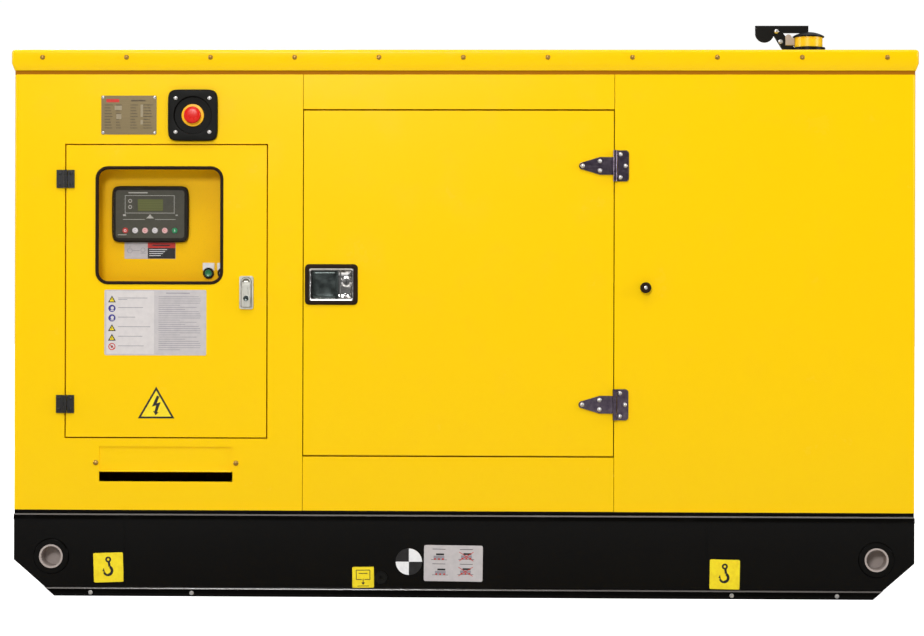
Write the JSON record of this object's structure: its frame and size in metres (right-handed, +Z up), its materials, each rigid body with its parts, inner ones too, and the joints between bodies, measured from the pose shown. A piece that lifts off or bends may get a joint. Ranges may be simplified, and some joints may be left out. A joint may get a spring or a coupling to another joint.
{
  "type": "skid-mounted diesel generator set",
  "caption": "Enclosed diesel generator set on a base tank, with a windowed control door, hinged service doors, lifting sockets and a roof exhaust with a rain cap.",
  "frame": {"origin": "on the floor, under the centre of the base", "axes": "+X along the set towards the exhaust end, -Y out of the control side, +Z up"},
  "size_m": [2.516, 1.043, 1.648],
  "materials": {
    "black_paint": "gloss black powder coat",
    "grey_paint": "satin light grey",
    "tank_steel": "satin",
    "zinc_steel": "zinc plated",
    "black_plastic": "satin",
    "yellow_paint": "gloss powder coat",
    "dark_steel": "dark polished stainless",
    "hinge_black": "satin black",
    "rubber": "matt",
    "clear_pane": "clear polycarbonate",
    "chrome": "polished",
    "brushed_plate": "brushed",
    "red_button": "gloss",
    "white_key": "satin",
    "green_key": "satin",
    "panel_paint": "satin yellow",
    "controller_case": "satin",
    "exhaust_steel": "heat-tinted",
    "engine_iron": "painted casting",
    "machined_steel": "machined",
    "fan_plastic": "moulded",
    "radiator_black": "black core"
  },
  "bodies": {
    "generator": {"base_frame": "black_paint", "lifting_sockets": "grey_paint", "fuel_tank": "tank_steel", "tank_drain_plug": "zinc_steel", "left_end_shell": "yellow_paint", "right_end_shell": "yellow_paint", "inlet_louvre": "yellow_paint", "outlet_louvre": "yellow_paint", "front_door_frame": "yellow_paint", "rear_door_frame": "yellow_paint", "roof_panel": "yellow_paint", "roof_screws": "yellow_paint", "front_hinge_bases": "dark_steel", "rear_hinge_bases": "dark_steel", "door_bumpers": "rubber", "control_hinge_bases": "hinge_black", "nameplate": "brushed_plate", "estop_shroud": "black_plastic", "control_cabinet": "panel_paint", "controller": "controller_case", "panel_bezels": "black_plastic", "main_breaker": "black_plastic", "silencer": "exhaust_steel", "rain_cap_clamp": "zinc_steel", "engine_block": "engine_iron", "cylinder_head": "engine_iron", "fan_belt": "rubber", "radiator": "radiator_black", "alternator": "engine_iron", "battery": "black_plastic"},
    "control_door": {"control_door": "yellow_paint", "window_seal": "rubber", "window_pane": "clear_pane", "control_hinge_leaves": "hinge_black", "handle_plate": "chrome"},
    "handle_spindle": {"handle_spindle": "zinc_steel"},
    "handle_lever": {"handle_lever": "chrome"},
    "front_door": {"front_service_door": "yellow_paint", "front_latch_tray": "chrome", "front_strap_leaves": "dark_steel"},
    "front_paddle": {"front_latch_paddle": "chrome"},
    "rear_door": {"rear_service_door": "yellow_paint", "rear_latch_tray": "chrome", "rear_strap_leaves": "dark_steel"},
    "rear_paddle": {"rear_latch_paddle": "chrome"},
    "fuel_cap": {"fuel_cap": "black_plastic"},
    "estop_button": {"estop_button": "red_button"},
    "cable_shutter": {"cable_shutter": "yellow_paint"},
    "stop_key": {"stop_key": "red_button"},
    "manual_key": {"manual_key": "white_key"},
    "auto_key": {"auto_key": "white_key"},
    "test_key": {"test_key": "white_key"},
    "mute_key": {"mute_key": "white_key"},
    "start_key": {"start_key": "green_key"},
    "start_button": {"start_button": "green_key"},
    "key_switch": {"key_switch": "zinc_steel"},
    "breaker_toggle": {"breaker_toggle": "white_key"},
    "rain_cap_lid": {"rain_cap_lid": "dark_steel"},
    "crank_assembly": {"crank_assembly": "machined_steel"},
    "cooling_fan": {"cooling_fan": "fan_plastic"}
  },
  "joints": [
    {"name": "control_door_hinge", "type": "hinge", "parent": "generator", "child": "control_door", "pos_m": [-1.106, -0.506, 0.848], "axis": [0, 0, -1], "range_deg": [0, 115]},
    {"name": "handle_turn", "type": "hinge", "parent": "control_door", "child": "handle_spindle", "pos_m": [-0.601, -0.5, 0.875], "axis": [0, -1, 0], "range_deg": [0, 90]},
    {"name": "handle_lift", "type": "hinge", "parent": "handle_spindle", "child": "handle_lever", "pos_m": [-0.601, -0.5098, 0.875], "axis": [-1, 0, 0], "range_deg": [0, 30]},
    {"name": "front_door_hinge", "type": "hinge", "parent": "generator", "child": "front_door", "pos_m": [0.421, -0.507, 0.868], "axis": [0, 0, 1], "range_deg": [0, 170]},
    {"name": "front_paddle_pull", "type": "hinge", "parent": "front_door", "child": "front_paddle", "pos_m": [-0.3505, -0.498, 0.868], "axis": [0, 0, 1], "range_deg": [0, 30], "stiffness_Nm_per_rad": 0.8, "springref_deg": -11.46},
    {"name": "rear_door_hinge", "type": "hinge", "parent": "generator", "child": "rear_door", "pos_m": [0.421, 0.507, 0.868], "axis": [0, 0, -1], "range_deg": [0, 170]},
    {"name": "rear_paddle_pull", "type": "hinge", "parent": "rear_door", "child": "rear_paddle", "pos_m": [-0.3505, 0.498, 0.868], "axis": [0, 0, -1], "range_deg": [0, 30], "stiffness_Nm_per_rad": 0.8, "springref_deg": -11.46},
    {"name": "fuel_cap_twist", "type": "hinge", "parent": "generator", "child": "fuel_cap", "pos_m": [-0.385, -0.39, 0.28], "axis": [0, 0, 1], "range_deg": [0, 90]},
    {"name": "estop_push", "type": "slide", "parent": "generator", "child": "estop_button", "axis": [0, 1, 0], "range_m": [0, 0.004]},
    {"name": "shutter_slide", "type": "slide", "parent": "generator", "child": "cable_shutter", "axis": [0, 0, 1], "range_m": [-0.016, 0]},
    {"name": "stop_key_press", "type": "slide", "parent": "generator", "child": "stop_key", "axis": [0, 1, 0], "range_m": [0, 0.001], "stiffness_N_per_m": 800, "springref_m": -0.001},
    {"name": "manual_key_press", "type": "slide", "parent": "generator", "child": "manual_key", "axis": [0, 1, 0], "range_m": [0, 0.001], "stiffness_N_per_m": 800, "springref_m": -0.001},
    {"name": "auto_key_press", "type": "slide", "parent": "generator", "child": "auto_key", "axis": [0, 1, 0], "range_m": [0, 0.001], "stiffness_N_per_m": 800, "springref_m": -0.001},
    {"name": "test_key_press", "type": "slide", "parent": "generator", "child": "test_key", "axis": [0, 1, 0], "range_m": [0, 0.001], "stiffness_N_per_m": 800, "springref_m": -0.001},
    {"name": "mute_key_press", "type": "slide", "parent": "generator", "child": "mute_key", "axis": [0, 1, 0], "range_m": [0, 0.001], "stiffness_N_per_m": 800, "springref_m": -0.001},
    {"name": "start_key_press", "type": "slide", "parent": "generator", "child": "start_key", "axis": [0, 1, 0], "range_m": [0, 0.001], "stiffness_N_per_m": 800, "springref_m": -0.001},
    {"name": "start_button_press", "type": "slide", "parent": "generator", "child": "start_button", "axis": [0, 1, 0], "range_m": [0, 0.003], "stiffness_N_per_m": 800, "springref_m": -0.001},
    {"name": "key_switch_turn", "type": "hinge", "parent": "generator", "child": "key_switch", "pos_m": [-0.675, -0.43, 0.9], "axis": [0, 1, 0], "range_deg": [0, 60]},
    {"name": "breaker_throw", "type": "hinge", "parent": "generator", "child": "breaker_toggle", "pos_m": [-0.905, -0.426, 0.64], "axis": [1, 0, 0], "range_deg": [-24, 24]},
    {"name": "rain_cap_hinge", "type": "hinge", "parent": "generator", "child": "rain_cap_lid", "pos_m": [0.919, 0, 1.63], "axis": [0, -1, 0], "range_deg": [0, 60]},
    {"name": "crank_turn", "type": "hinge", "parent": "generator", "child": "crank_assembly", "pos_m": [0, 0, 0.52], "axis": [1, 0, 0], "continuous": true},
    {"name": "fan_turn", "type": "hinge", "parent": "generator", "child": "cooling_fan", "pos_m": [0.6, 0, 0.79], "axis": [1, 0, 0], "continuous": true}
  ],
  "couplings": [
    {"joint": "fan_turn", "follows": "crank_turn", "ratio": 1.5}
  ]
}
